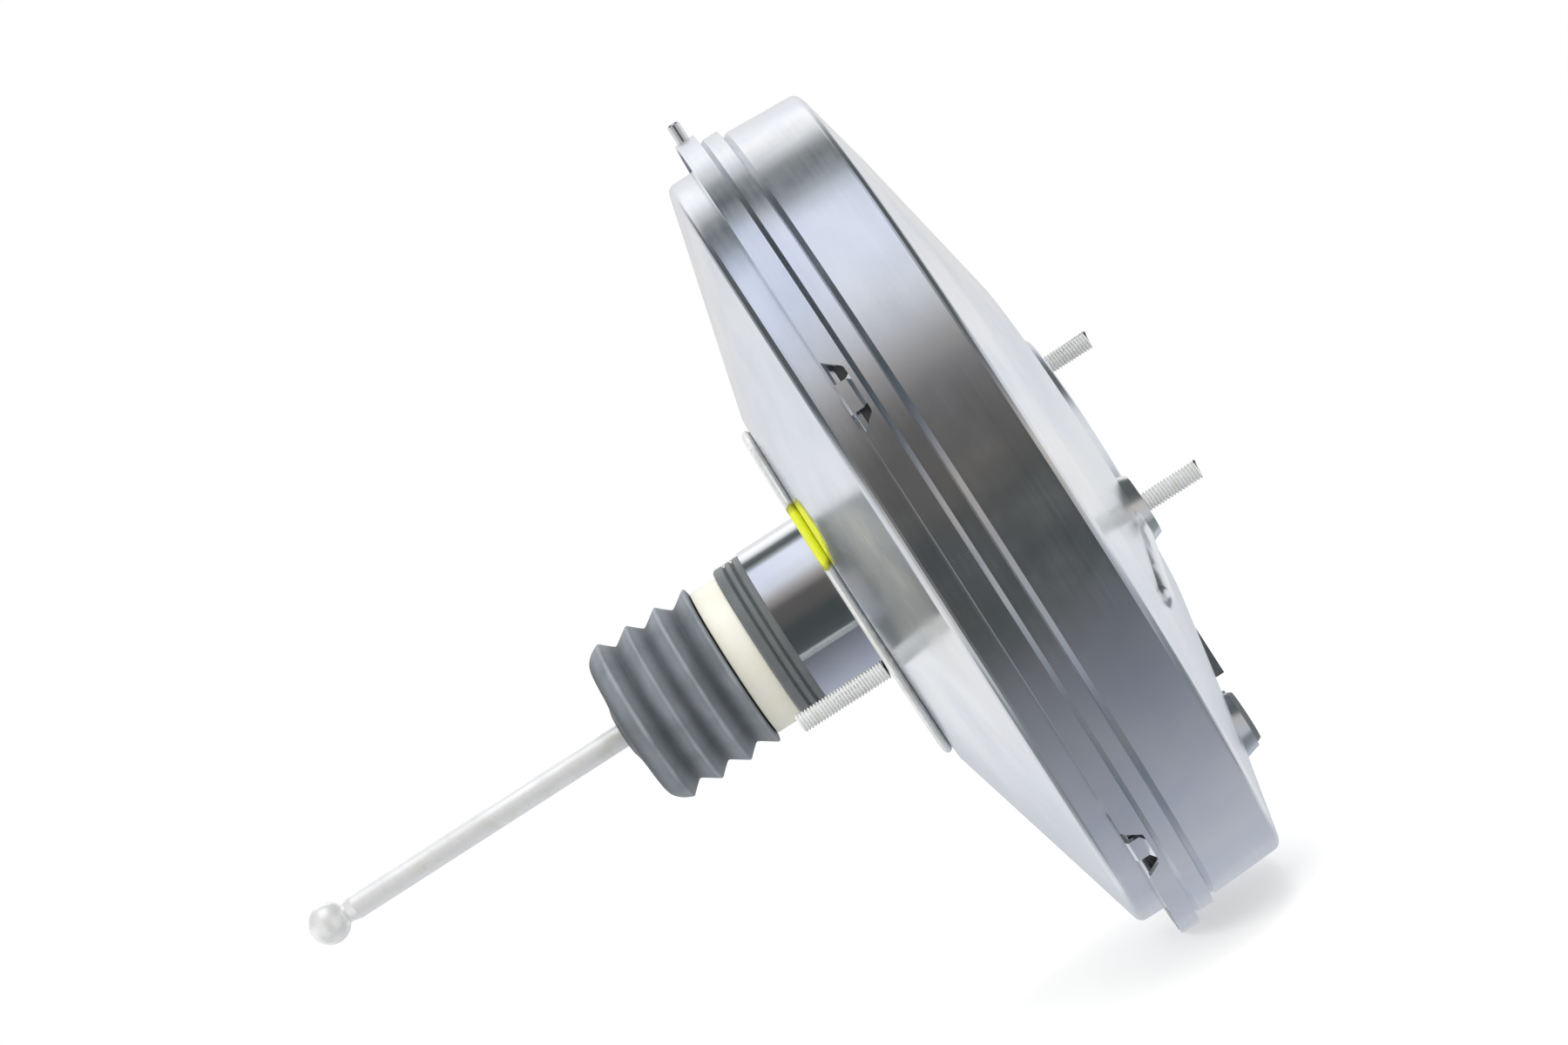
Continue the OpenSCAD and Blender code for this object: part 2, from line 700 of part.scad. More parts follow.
// the cone between the hub's straight part and its nose
nose_x = hub_end - nose_len;
hub_edge = nose_x - 11;
module valve_body() {
    vent_r = 1.5;
    vent_dist = (chamber_r + seat_hole + 2) / 2;
    outlet_x = hub_x + 11;
    vent_x = floor_x + 6.5;
    vent_tilt = -32;
    outline = [
        [tube_in, tube_end], [end_r, tube_end], [end_r, boot_x], [tube_r, boot_x], [tube_r, hub_x],
        [hub_r, hub_x], [hub_r, hub_edge], [nose_r, nose_x], [nose_r, hub_end],
        [disc_rubber_r + 0.2, hub_end], [disc_rubber_r + 0.2, rubber_x],
        [plunger_r, rubber_x], [plunger_r, guide_x], [seat_hole, guide_x], [seat_hole, floor_x],
        [seat_hole + 0.7, floor_x], [seat_hole + 0.9, seat_x0], [seat_hole + 1.5, seat_x0],
        [seat_hole + 1.7, floor_x], [chamber_r, floor_x], [chamber_r, step_x], [tube_in, step_x]];
    color("#efe6c8") difference() {
        turned(outline);
        // the slot of the stop key
        translate([key_x - 0.1, -key_w / 2 - 0.2, -hub_r - 1]) {
            cube([key_t + 0.2, key_w + 0.4, hub_r + 12]);
        }
        for (side = [-1, 1]) {
            // vacuum passage: from the ring outside the seat to the front chamber
            translate([floor_x - eps, side * vent_dist, 0]) along_x() {
                cylinder(h = outlet_x - floor_x, r = vent_r, $fn = 24);
            }
            translate([outlet_x - vent_r, side * vent_dist, 0]) rotate([-90 * side, 0, 0]) {
                cylinder(h = hub_r, r = vent_r, $fn = 24);
            }
            // air passage: from inside the seat, slanting back to the rear chamber
            translate([vent_x, 0, side * (seat_hole - 2)]) rotate([0, side * vent_tilt, 0]) {
                mirror([0, 0, side > 0 ? 0 : 1]) cylinder(h = tube_r, r = vent_r, $fn = 24);
            }
        }
    }
}

// Reaction disc, output rod and key

module reaction_disc() {
    color("#2a2c2e") disc(rubber_x + 0.02, rubber_x + disc_rubber_t, disc_rubber_r);
}

screw_x = tip_x - 9;
module output_rod() {
    foot_x = rubber_x + disc_rubber_t;
    color("#b4b9be") turned([
        [0, foot_x], [disc_rubber_r - 0.2, foot_x], [disc_rubber_r - 0.2, foot_x + rod_foot],
        [out_r + 1.5, foot_x + rod_foot], [out_r, foot_x + rod_foot + 1.5],
        [out_r, screw_x - 0.6], [out_r - 0.6, screw_x], [0, screw_x]], 64);
}

module adjusting_tip() {
    color("#a9a397") {
        translate([screw_x, 0, 0]) along_x() cylinder(h = hex_len, r = out_r + 0.6, $fn = 6);
        turned(concat([[0, screw_x + hex_len], [tip_r, screw_x + hex_len], [tip_r, tip_x - 1.4]],
            [[tip_r - 0.6, tip_x - 0.5], [tip_r - 2, tip_x], [0, tip_x]]), 64);
    }
}

module rod_retainer() {
    color("#8d9296") turned([
        [nose_r + 0.02, hub_end - skirt_len], [nose_r + 0.8, hub_end - skirt_len],
        [nose_r + 0.8, hub_end + 0.8], [out_r + 3, hub_end + 0.8], [out_r + 3, hub_end + 0.02],
        [nose_r + 0.02, hub_end + 0.02]]);
}

plunger_neck = 5;
module stop_key() {
    gap = 2 * (plunger_neck + loose);
    color("#9b9fa3") difference() {
        translate([key_x, -key_w / 2, -key_reach]) cube([key_t, key_w, key_reach + 9]);
        translate([key_x - 1, -gap / 2, 0]) cube([key_t + 2, gap, 12]);
        translate([key_x - 1, 0, 0]) along_x() cylinder(h = key_t + 2, r = gap / 2);
    }
}

// Control valve: poppet, its cup, springs, filter

bead_back = step_x - 2.6;
poppet_r = seat_hole + 3.5;
module poppet_valve() {
    web = 0.9;
    front = seat_x0 - loose;
    inner = seat_hole;
    color("#2a2c2e") turned([
        [seat_hole - 2.9, front], [poppet_r, front], [poppet_r, front - 1.5], [inner + web, front - 1.5],
        [inner + web, step_x - 0.02], [tube_in - 0.2, step_x - 0.02], [tube_in - 0.2, bead_back],
        [inner, bead_back], [inner, front - 1.5], [seat_hole - 2.9, front - 1.5]]);
}

cup_t = 0.8;
cup_end = step_x - cup_len;
module poppet_retainer() {
    inner = seat_hole;
    color("#9b9fa3") turned([
        [inner, bead_back - 0.02], [tube_in - 0.1, bead_back - 0.02],
        [tube_in - 0.1, bead_back - cup_t], [inner + cup_t, bead_back - cup_t],
        [inner + cup_t, cup_end - cup_t], [seat_hole - 3, cup_end - cup_t],
        [seat_hole - 3, cup_end], [inner, cup_end]]);
}

module poppet_spring() {
    color("#7d8388") coil(cup_end + 0.1, seat_x0 - loose - 1.6, seat_hole - 1.5, seat_hole - 1.5,
        fine_wire, fine_turns + 2, 6, 16);
}

washer_x = step_x - seat_reach;
washer_t = 1;
module rod_spring() {
    mean = seat_hole + 2.1;
    color("#7d8388") coil(washer_x + washer_t + 0.1, bead_back - cup_t - 0.1, mean, mean,
        fine_wire, fine_turns + 2, 6, 16);
}

module spring_seat() {
    outer = seat_hole + 2.9;
    color("#8d9296") turned([
        [rod_r + 0.02, washer_x - 3], [rod_r + 1.4, washer_x - 3], [rod_r + 1.4, washer_x],
        [outer, washer_x], [outer, washer_x + washer_t], [rod_r + 0.02, washer_x + washer_t]]);
}

filter_x = tube_end + 10;
module air_filter() {
    color("#4b4d4e") ring(filter_x, filter_x + filter_len, filter_hole, tube_in - 0.1);
}

module silencer() {
    color("#d6d2c6") ring(filter_x - 3.5, filter_x - 0.05, filter_hole - 1, tube_in - 0.1);
}

module filter_retainer() {
    back = filter_x - 6;
    slots = 6;
    color("#33363a") difference() {
        ring(back, back + 2.4, filter_hole - 1, tube_in - 0.05);
        for (i = [0:slots - 1]) rotate([i * 360 / slots, 0, 0]) {
            translate([back - 1, -1.2, filter_hole + 1]) cube([5, 2.4, tube_in - filter_hole - 3]);
        }
    }
}

// Plunger and pedal rod

module valve_plunger() {
    shoulder = guide_x - valve_travel - loose;
    socket_r = 8.2;
    lip = seat_hole - 1.1;
    head_end = rubber_x - valve_travel - loose;
    head_r = plunger_r - run_fit;
    mouth = joint_ball_r - 0.9;
    color("#b1b5b9") difference() {
        turned([
            [0, 0], [socket_r, 0], [socket_r, seat_x0 + 1.5], [lip - 1.2, seat_x0 + 1.5],
            [lip - 1.2, seat_x0], [lip, seat_x0], [lip, joint_x], [lip - 1.8, joint_x + 2],
            [lip - 1.8, shoulder], [plunger_neck, shoulder], [plunger_neck, key_x + key_t + loose],
            [head_r, key_x + key_t + loose], [head_r, head_end], [0, head_end]], 96);
        translate([joint_x, 0, 0]) sphere(r = joint_ball_r + run_fit);
        disc(-1, joint_x, mouth);
    }
}

module pedal_rod() {
    neck = 3;
    ball_x = -rod_reach;
    thin = 3.2;
    chain = sqrt(ball_r * ball_r - thin * thin);
    color("#cfd3d6") {
        translate([joint_x, 0, 0]) sphere(r = joint_ball_r);
        translate([ball_x, 0, 0]) sphere(r = ball_r);
        turned([
            [0, ball_x], [thin, ball_x], [thin, ball_x + chain + 1], [rod_r, ball_x + chain + 3.5],
            [rod_r, washer_x - 4.5], [rod_r + 1, washer_x - 4.5], [rod_r + 1, washer_x - 3.02],
            [rod_r, washer_x - 3.02], [rod_r, -4], [neck, -2], [neck, joint_x], [0, joint_x]], 64);
    }
}

module vacuum_grommet() {
    hole_r = port_hole + grommet_wall;
    color("#303336") at_polar(port_dist, port_angle) rotate_extrude($fn = 64) polygon([
        [port_hole, port_x - 5], [hole_r + 0.4, port_x - 5], [hole_r + 0.9, port_x - sheet - 0.02],
        [hole_r - 0.02, port_x - sheet - 0.02], [hole_r - 0.02, port_x + 0.02],
        [hole_r + 1.5, port_x + 0.02], [hole_r + 0.8, port_x + 1.6], [port_hole, port_x + 1.6]]);
}

rear_shell();
front_shell();
mounting_plate();
front_brace();
tie_bolt_near();
tie_bolt_far();
bolt_seal_rings();
neck_seal();
neck_bush();
boot();
diaphragm();
vacuum_grommet();
return_spring();
valve_body();
diaphragm_plate();
plate_retainer();
bolt_glands();
reaction_disc();
output_rod();
adjusting_tip();
rod_retainer();
stop_key();
poppet_valve();
poppet_retainer();
poppet_spring();
rod_spring();
air_filter();
silencer();
filter_retainer();
valve_plunger();
pedal_rod();
spring_seat();
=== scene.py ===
import math

import bmesh
import bpy
from mathutils import Matrix, Vector


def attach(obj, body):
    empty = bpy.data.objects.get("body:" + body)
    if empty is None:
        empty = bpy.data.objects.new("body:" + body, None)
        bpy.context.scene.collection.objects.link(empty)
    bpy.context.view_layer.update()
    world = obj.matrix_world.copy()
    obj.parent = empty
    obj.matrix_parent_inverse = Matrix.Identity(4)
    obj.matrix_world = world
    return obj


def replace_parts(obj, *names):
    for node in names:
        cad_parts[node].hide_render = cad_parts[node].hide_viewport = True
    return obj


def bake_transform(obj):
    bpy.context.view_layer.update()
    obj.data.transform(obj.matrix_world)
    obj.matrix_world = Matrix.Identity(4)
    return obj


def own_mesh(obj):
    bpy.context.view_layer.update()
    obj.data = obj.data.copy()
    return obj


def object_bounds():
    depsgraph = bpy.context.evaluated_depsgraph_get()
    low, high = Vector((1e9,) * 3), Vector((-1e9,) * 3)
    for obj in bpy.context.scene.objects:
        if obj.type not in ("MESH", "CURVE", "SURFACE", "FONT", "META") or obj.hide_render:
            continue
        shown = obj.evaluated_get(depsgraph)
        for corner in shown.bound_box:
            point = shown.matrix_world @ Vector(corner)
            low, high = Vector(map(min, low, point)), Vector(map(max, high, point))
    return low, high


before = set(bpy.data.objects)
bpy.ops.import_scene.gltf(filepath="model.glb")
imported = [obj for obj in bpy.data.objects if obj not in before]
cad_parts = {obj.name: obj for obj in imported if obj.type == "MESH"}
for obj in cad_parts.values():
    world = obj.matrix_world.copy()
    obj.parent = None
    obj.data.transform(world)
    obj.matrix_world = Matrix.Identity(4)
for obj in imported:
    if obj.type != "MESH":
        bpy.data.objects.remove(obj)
cad_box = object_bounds()

# The view of the photograph: a long lens, level with the booster's side, turned so that the axis
# climbs to the upper right. Distances are in metres and the focal length in pixels of the photo.
VIEW_FROM = Vector((0.0169, -1.158, 0.0322))
VIEW_YAW = -0.0173
VIEW_PITCH = -0.0044
VIEW_ROLL = 0.5723
FOCAL_PX = 4492.0
PHOTO_WIDTH_PX = 1800.0
SENSOR_MM = 36.0

lens = bpy.data.cameras.new("studio_camera")
lens.sensor_width = SENSOR_MM
lens.lens = FOCAL_PX / PHOTO_WIDTH_PX * SENSOR_MM
lens.clip_start = 0.05
camera = bpy.data.objects.new("studio_camera", lens)
bpy.context.scene.collection.objects.link(camera)
level = math.cos(VIEW_PITCH)
ahead = Vector((math.sin(VIEW_YAW) * level, math.cos(VIEW_YAW) * level, math.sin(VIEW_PITCH)))
turn = ahead.to_track_quat("-Z", "Y").to_matrix().to_4x4()
camera.matrix_world = Matrix.Translation(VIEW_FROM) @ turn @ Matrix.Rotation(-VIEW_ROLL, 4, "Z")
bpy.context.scene.camera = camera

# The light tent is white for the camera and gives an even soft light. The plated steel mirrors
# its panels, listed by degrees round the axis from the camera over the top, brightness and tint:
# the walls mirror the middle panels, and the cones, edges and grooves the slanted ones.
TENT_LIGHT = 0.8
TENT_ENDS = 0.93
SLANTED_FROM = (0.24, 0.42)
ENDS_FROM = (0.90, 0.97)
WHITE = (1, 1, 1, 1)
MIDDLE_TENT = [
    (-180, 0.76, "cool"), (-130, 0.62, "blue"), (-103, 0.54, "blue"), (-86, 0.45, "blue"),
    (-70, 0.36, "blue"), (-52, 0.26, "blue"), (-40, 0.18, "cool"), (-30, 0.10, "green"),
    (-14, 0.08, "green"), (0, 0.08, "green"), (14, 0.12, "warm"), (30, 0.13, "warm"),
    (43, 0.42, "warm"), (58, 0.86, "cool"), (76, 1.06, "blue"), (96, 1.06, "blue"),
    (103, 0.36, "green"), (109, 0.12, "green"), (118, 0.17, "green"), (128, 1.00, "plain"),
    (140, 1.35, "plain"), (152, 0.95, "plain"), (179, 0.80, "plain")]
SLANTED_TENT = [
    (-180, 0.97, "plain"), (-132, 0.92, "cool"), (-112, 0.34, "green"), (-66, 0.26, "green"),
    (-46, 0.66, "cool"), (14, 0.62, "warm"), (34, 0.16, "green"), (60, 0.10, "green"),
    (140, 0.12, "green"), (158, 0.88, "plain"), (179, 0.97, "plain")]
TENT_TINTS = {"plain": (1.0, 1.0, 1.0), "cool": (0.93, 0.96, 1.0), "blue": (0.86, 0.90, 1.0),
              "green": (0.90, 1.0, 1.0), "warm": (1.0, 0.93, 0.86)}

world = bpy.data.worlds.new("light_tent")
bpy.context.scene.world = world
world.use_nodes = True
sky = world.node_tree
sky.nodes.clear()


def node_maker(tree):
    """Makes nodes in a tree, with each input linked to a socket or set to a value."""
    def make(kind, inputs=(), **settings):
        node = tree.nodes.new(kind)
        for key, value in settings.items():
            setattr(node, key, value)
        for socket, value in dict(inputs).items():
            if isinstance(value, bpy.types.NodeSocket):
                tree.links.new(value, node.inputs[socket])
            else:
                node.inputs[socket].default_value = value
        return node

    return make


sky_node = node_maker(sky)


def sky_math(kind, first, second=0.0):
    """A number reckoned from one or two others."""
    return sky_node("ShaderNodeMath", {0: first, 1: second}, operation=kind).outputs[0]


def tent_panels(share, panels):
    """The colours of a list of panels, by their share of the way round the axis."""
    ramp = sky_node("ShaderNodeValToRGB", {0: share})
    while len(ramp.color_ramp.elements) < len(panels):
        ramp.color_ramp.elements.new(1.0)
    for element, (degrees, light, tint) in zip(ramp.color_ramp.elements, panels):
        element.position = degrees / 360 + 0.5
        element.color = tuple(light * part for part in TENT_TINTS[tint]) + (1,)
    return ramp.outputs["Color"]


def tent_blend(reach, limits, inner, outer):
    """Goes from the inner colour to the outer one while the reach passes the limits."""
    span = {"Value": reach, "From Min": limits[0], "From Max": limits[1]}
    part = sky_node("ShaderNodeMapRange", span, interpolation_type="SMOOTHSTEP").outputs["Result"]
    return sky_node("ShaderNodeMix", {0: part, 6: inner, 7: outer}, data_type="RGBA").outputs[2]


all_round = sky_node("ShaderNodeTexCoord").outputs["Generated"]
direction = sky_node("ShaderNodeSeparateXYZ", {0: all_round}).outputs
climb = sky_math("ARCTAN2", direction["Z"], sky_math("MULTIPLY", direction["Y"], -1.0))
share = sky_math("ADD", sky_math("DIVIDE", climb, 2 * math.pi), 0.5)
sideways = sky_math("ABSOLUTE", direction["X"])
tent_colour = tent_blend(sideways, SLANTED_FROM, tent_panels(share, MIDDLE_TENT),
                         tent_panels(share, SLANTED_TENT))
tent_colour = tent_blend(sideways, ENDS_FROM, tent_colour, (TENT_ENDS, TENT_ENDS, TENT_ENDS, 1))


def sky_background(colour, strength):
    """A light of one colour, or of the colours of the tent."""
    return sky_node("ShaderNodeBackground", {"Color": colour, "Strength": strength}).outputs[0]


def sky_choice(factor, otherwise, chosen):
    """The chosen light where the factor is 1, and the other where it is 0."""
    return sky_node("ShaderNodeMixShader", {0: factor, 1: otherwise, 2: chosen}).outputs[0]


rays = sky_node("ShaderNodeLightPath").outputs
seen = sky_math("MAXIMUM", rays["Is Camera Ray"], rays["Is Transmission Ray"])
mirrored = sky_choice(rays["Is Glossy Ray"], sky_background(WHITE, TENT_LIGHT),
                      sky_background(tent_colour, 1.0))
sky_node("ShaderNodeOutputWorld", {0: sky_choice(seen, mirrored, sky_background(WHITE, 1.0))})


def soft_lamp(name, place, size, power):
    """A soft lamp that points at the booster. The steel mirrors the tent, not the lamp."""
    lamp = bpy.data.lights.new(name, "AREA")
    lamp.shape = "RECTANGLE"
    lamp.size = size[0]
    lamp.size_y = size[1]
    lamp.energy = power
    thing = bpy.data.objects.new(name, lamp)
    bpy.context.scene.collection.objects.link(thing)
    place = Vector(place)
    aim = (-place).to_track_quat("-Z", "Y").to_matrix().to_4x4()
    thing.matrix_world = Matrix.Translation(place) @ aim
    thing.visible_glossy = False


soft_lamp("top_lamp", place=(0.25, -0.35, 1.1), size=(0.7, 0.5), power=5.0)
soft_lamp("rear_lamp", place=(-0.9, -0.5, 0.6), size=(0.6, 0.6), power=3.0)

# The floor is plain pale paper. It is a little brighter to the camera, so that it runs into the
# white background, and it keeps the booster's shadow.
FLOOR_HEIGHT = cad_box[0][2] - 0.0005
FLOOR_HALF = 6.0
FLOOR_COLOUR = (0.82, 0.82, 0.82, 1)
FLOOR_LIFT = 0.42

paper = bpy.data.materials.new("pale_paper")
paper.use_nodes = True
paper_tree = paper.node_tree
paper_node = node_maker(paper_tree)
sheet = paper_tree.nodes["Principled BSDF"]
sheet.inputs["Base Color"].default_value = FLOOR_COLOUR
sheet.inputs["Roughness"].default_value = 1.0
sheet.inputs["Specular IOR Level"].default_value = 0.0
lift = paper_node("ShaderNodeMath", {0: paper_node("ShaderNodeLightPath").outputs["Is Camera Ray"],
                                     1: FLOOR_LIFT}, operation="MULTIPLY").outputs[0]
glow = paper_node("ShaderNodeEmission", {"Strength": lift}).outputs[0]
both = paper_node("ShaderNodeAddShader", {0: sheet.outputs[0], 1: glow}).outputs[0]
paper_tree.links.new(both, paper_tree.nodes["Material Output"].inputs["Surface"])

bpy.ops.object.select_all(action="DESELECT")
bpy.ops.mesh.primitive_plane_add(size=2 * FLOOR_HALF, location=(0, 0, FLOOR_HEIGHT))
floor = bpy.context.object
floor.name = "floor"
floor.data.materials.append(paper)
floor.visible_glossy = False

# The two shells are pressed from sheet steel and plated with bright zinc, a cold mirror with fine
# rings from the press and soft clouds from the bath, and the neck is polished by the draw. A dab
# of yellow inspection paint lies on the rear shell's flat and on the edge of the plate before it.
SHELL_SILVER = (0.80, 0.815, 0.84, 1)
SHELL_BLUE = (0.66, 0.70, 0.78, 1)
SHELL_STRAW = (0.78, 0.73, 0.66, 1)
SHELL_ROUGHNESS = (0.16, 0.28)
PRESS_RINGS = 900.0
BATH_CLOUDS = 16.0
STRAW_STAINS = 7.0
HAND_MARKS = 60.0
NECK_POLISH = 0.45
NECK_EDGE = (0.0275, 0.0300)
PAINT_YELLOW = (0.83, 0.88, 0.05, 1)
PAINT_EDGE = (0.36, 0.36, 0.04, 1)
PAINT_SPOT = (0.0005, -0.056, 0.021)
PAINT_SIZE = (0.0075, 0.012, 0.0125)
PAINT_RAGGED = 260.0
PAINT_WANDER = 0.5
PAINT_FADE = (0.92, 1.0)
PAINT_MIDDLE = (0.70, 0.92)
PAINT_ROUGHNESS = 0.25


def start_material(name, base, metallic, roughness):
    """A material with its shader, its object coordinates, a maker of nodes and its links."""
    material = bpy.data.materials.new(name)
    material.use_nodes = True
    tree = material.node_tree
    shader = tree.nodes["Principled BSDF"]
    shader.inputs["Base Color"].default_value = base
    shader.inputs["Metallic"].default_value = metallic
    shader.inputs["Roughness"].default_value = roughness
    make = node_maker(tree)
    return material, shader, make("ShaderNodeTexCoord").outputs["Object"], make, tree.links


def cloud(make, place, scale, detail=3, distortion=0.0):
    """Soft noise from 0 to 1, at a scale in patches per metre."""
    return make("ShaderNodeTexNoise", {"Vector": place, "Scale": scale, "Detail": detail,
                                       "Distortion": distortion}).outputs["Fac"]


def between(make, factor, low, high, from_low=0.35, from_high=0.65):
    """A number that runs from low to high while the factor runs between its own two limits."""
    return make("ShaderNodeMapRange", {"Value": factor, "From Min": from_low, "From Max": from_high,
                                       "To Min": low, "To Max": high}).outputs["Result"]


def mixed(make, factor, first, second):
    """Two colours mixed by a factor."""
    return make("ShaderNodeMix", {0: factor, 6: first, 7: second}, data_type="RGBA").outputs[2]


def reckoned(make, kind, first, second):
    """A sum, a difference or a product of two numbers."""
    return make("ShaderNodeMath", {0: first, 1: second}, operation=kind).outputs[0]


def finish_surface(shader, make, link, colour, gloss, relief, strength, depth):
    """Gives a shader its colour, its roughness and its fine relief."""
    link.new(colour, shader.inputs["Base Color"])
    link.new(gloss, shader.inputs["Roughness"])
    bump = make("ShaderNodeBump", {"Height": relief, "Strength": strength, "Distance": depth})
    link.new(bump.outputs[0], shader.inputs["Normal"])


def round_the_axis(make, place):
    """Coordinates that are alike all round the booster's axis: radius and station."""
    parts = make("ShaderNodeSeparateXYZ", {"Vector": place}).outputs
    across = make("ShaderNodeCombineXYZ", {"Y": parts["Y"], "Z": parts["Z"]}).outputs[0]
    radius = make("ShaderNodeVectorMath", {0: across}, operation="LENGTH").outputs["Value"]
    return make("ShaderNodeCombineXYZ", {"X": radius, "Y": parts["X"]}).outputs[0]


def paint_dab(make, place):
    """Two masks with ragged edges: the whole dab of paint, and its bright middle."""
    def step(kind, first, second):
        return make("ShaderNodeVectorMath", {0: first, 1: second}, operation=kind).outputs[0]

    ragged = make("ShaderNodeTexNoise", {"Vector": place, "Scale": PAINT_RAGGED, "Detail": 3})
    wander = step("SUBTRACT", ragged.outputs["Color"], (0.5, 0.5, 0.5))
    wander = step("MULTIPLY", wander, (PAINT_WANDER, PAINT_WANDER, PAINT_WANDER))
    local = step("ADD", step("DIVIDE", step("SUBTRACT", place, PAINT_SPOT), PAINT_SIZE), wander)
    reach = make("ShaderNodeVectorMath", {0: local}, operation="LENGTH").outputs["Value"]
    dab = between(make, reach, 1.0, 0.0, *PAINT_FADE)
    middle = between(make, reach, 1.0, 0.0, *PAINT_MIDDLE)
    return dab, middle


def plated_steel(name, painted=False):
    """Bright zinc, smoother on the neck and with the dab of paint where asked."""
    material, shader, place, make, link = start_material(
        name, SHELL_SILVER, 1.0, SHELL_ROUGHNESS[0])
    rings = round_the_axis(make, place)
    drawn = cloud(make, rings, PRESS_RINGS, detail=4)
    bath = cloud(make, place, BATH_CLOUDS, detail=4, distortion=0.8)
    stain = cloud(make, place, STRAW_STAINS, detail=2, distortion=1.5)
    handled = cloud(make, place, HAND_MARKS, detail=5)
    stained = between(make, stain, 0.0, 0.35, from_low=0.55, from_high=0.75)
    colour = mixed(make, between(make, bath, 0.0, 1.0), SHELL_SILVER, SHELL_BLUE)
    colour = mixed(make, stained, colour, SHELL_STRAW)
    worn = reckoned(make, "ADD", between(make, drawn, 0.0, 0.3), between(make, handled, 0.0, 0.7))
    gloss = between(make, worn, *SHELL_ROUGHNESS, from_low=0.0, from_high=1.0)
    radius = make("ShaderNodeSeparateXYZ", {0: rings}).outputs["X"]
    gloss = reckoned(make, "MULTIPLY", gloss, between(make, radius, NECK_POLISH, 1.0, *NECK_EDGE))
    if painted:
        dab, middle = paint_dab(make, place)
        colour = mixed(make, dab, colour, mixed(make, middle, PAINT_EDGE, PAINT_YELLOW))
        link.new(reckoned(make, "SUBTRACT", 1.0, dab), shader.inputs["Metallic"])
        gloss = reckoned(make, "ADD", gloss, reckoned(make, "MULTIPLY", dab, PAINT_ROUGHNESS))
    finish_surface(shader, make, link, colour, gloss, drawn, strength=0.03, depth=0.0002)
    return material


def dress(material, *nodes):
    """Gives CAD nodes a finish."""
    for name in nodes:
        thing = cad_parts[name]
        thing.data.materials.clear()
        thing.data.materials.append(material)


dress(plated_steel("bright_zinc"), "front_shell")
dress(plated_steel("bright_zinc_painted", painted=True), "rear_shell")

# The mounting plate lies between the rear shell and the bulkhead. It is cut from thick plate with
# a rounded rim, plated in matt pale zinc, and shares the dab of yellow paint with the shell.
PLATE_WIDTH = 0.112
PLATE_CORNER = 0.048
PLATE_THICKNESS = 0.003
PLATE_RIM = 0.0018
PLATE_OPENING = 0.0296
PLATE_BOLT_HOLE = 0.0034
CORNER_STEPS = 16
RIM_STEPS = 3
HOLE_SIDES = 64
REAR_FACE_WITHIN = 1e-5
PLATE_CREASE = math.radians(28)
BOLT_PLACE = (-0.0441, -0.0236)
ZINC_PALE = (0.93, 0.935, 0.935, 1)
ZINC_SHADE = (0.86, 0.87, 0.86, 1)
ZINC_OLIVE = (0.74, 0.75, 0.62, 1)
ZINC_METAL = 0.35
ZINC_ROUGHNESS = (0.22, 0.38)
ZINC_RINGS = 1400.0
ZINC_PATCHES = 70.0
ZINC_STAINS = 140.0


def pale_zinc(name, metal, roughness, painted=False):
    """Matt zinc with faint olive stains, with the dab of paint where asked."""
    material, shader, place, make, link = start_material(name, ZINC_PALE, metal, roughness[0])
    marks = cloud(make, round_the_axis(make, place), ZINC_RINGS, detail=4)
    patches = cloud(make, place, ZINC_PATCHES, detail=4, distortion=0.6)
    stains = cloud(make, place, ZINC_STAINS, detail=3, distortion=1.0)
    stained = between(make, stains, 0.0, 0.5, from_low=0.55, from_high=0.75)
    colour = mixed(make, between(make, patches, 0.0, 1.0), ZINC_PALE, ZINC_SHADE)
    colour = mixed(make, stained, colour, ZINC_OLIVE)
    if painted:
        dab, middle = paint_dab(make, place)
        colour = mixed(make, dab, colour, mixed(make, middle, PAINT_EDGE, PAINT_YELLOW))
        bare = between(make, dab, metal, 0.0, from_low=0.0, from_high=1.0)
        link.new(bare, shader.inputs["Metallic"])
    finish_surface(shader, make, link, colour, between(make, patches, *roughness), marks,
                   strength=0.08, depth=0.0002)
    return material


def bored(thing, radius, place):
    """Cuts a round hole along X through a plate."""
    bpy.ops.object.select_all(action="DESELECT")
    bpy.ops.mesh.primitive_cylinder_add(vertices=HOLE_SIDES, radius=radius,
                                        depth=6 * PLATE_THICKNESS, location=(0, *place),
                                        rotation=(0, math.pi / 2, 0))
    drill = bpy.context.object
    hole = thing.modifiers.new("hole", "BOOLEAN")
    hole.object = drill
    hole.operation = "DIFFERENCE"
    hole.solver = "EXACT"
    bpy.ops.object.select_all(action="DESELECT")
    thing.select_set(True)
    bpy.context.view_layer.objects.active = thing
    bpy.ops.object.modifier_apply(modifier="hole")
    bpy.data.objects.remove(drill)


bpy.ops.object.select_all(action="DESELECT")
bpy.ops.mesh.primitive_plane_add(size=PLATE_WIDTH, rotation=(0, math.pi / 2, 0))
bpy.ops.object.transform_apply(location=True, rotation=True, scale=True)
plate = bpy.context.object
plate.name = "bulkhead_plate"
plate.data.name = "bulkhead_plate"
bpy.ops.object.mode_set(mode="EDIT")
bpy.ops.mesh.select_all(action="SELECT")
bpy.ops.mesh.bevel(offset=PLATE_CORNER, segments=CORNER_STEPS, affect="VERTICES")
bpy.ops.mesh.select_all(action="SELECT")
bpy.ops.mesh.extrude_region_move(TRANSFORM_OT_translate={"value": (PLATE_THICKNESS, 0, 0)})
bpy.ops.mesh.select_all(action="SELECT")
bpy.ops.mesh.normals_make_consistent(inside=False)
bpy.ops.object.mode_set(mode="OBJECT")
shape = bmesh.new()
shape.from_mesh(plate.data)
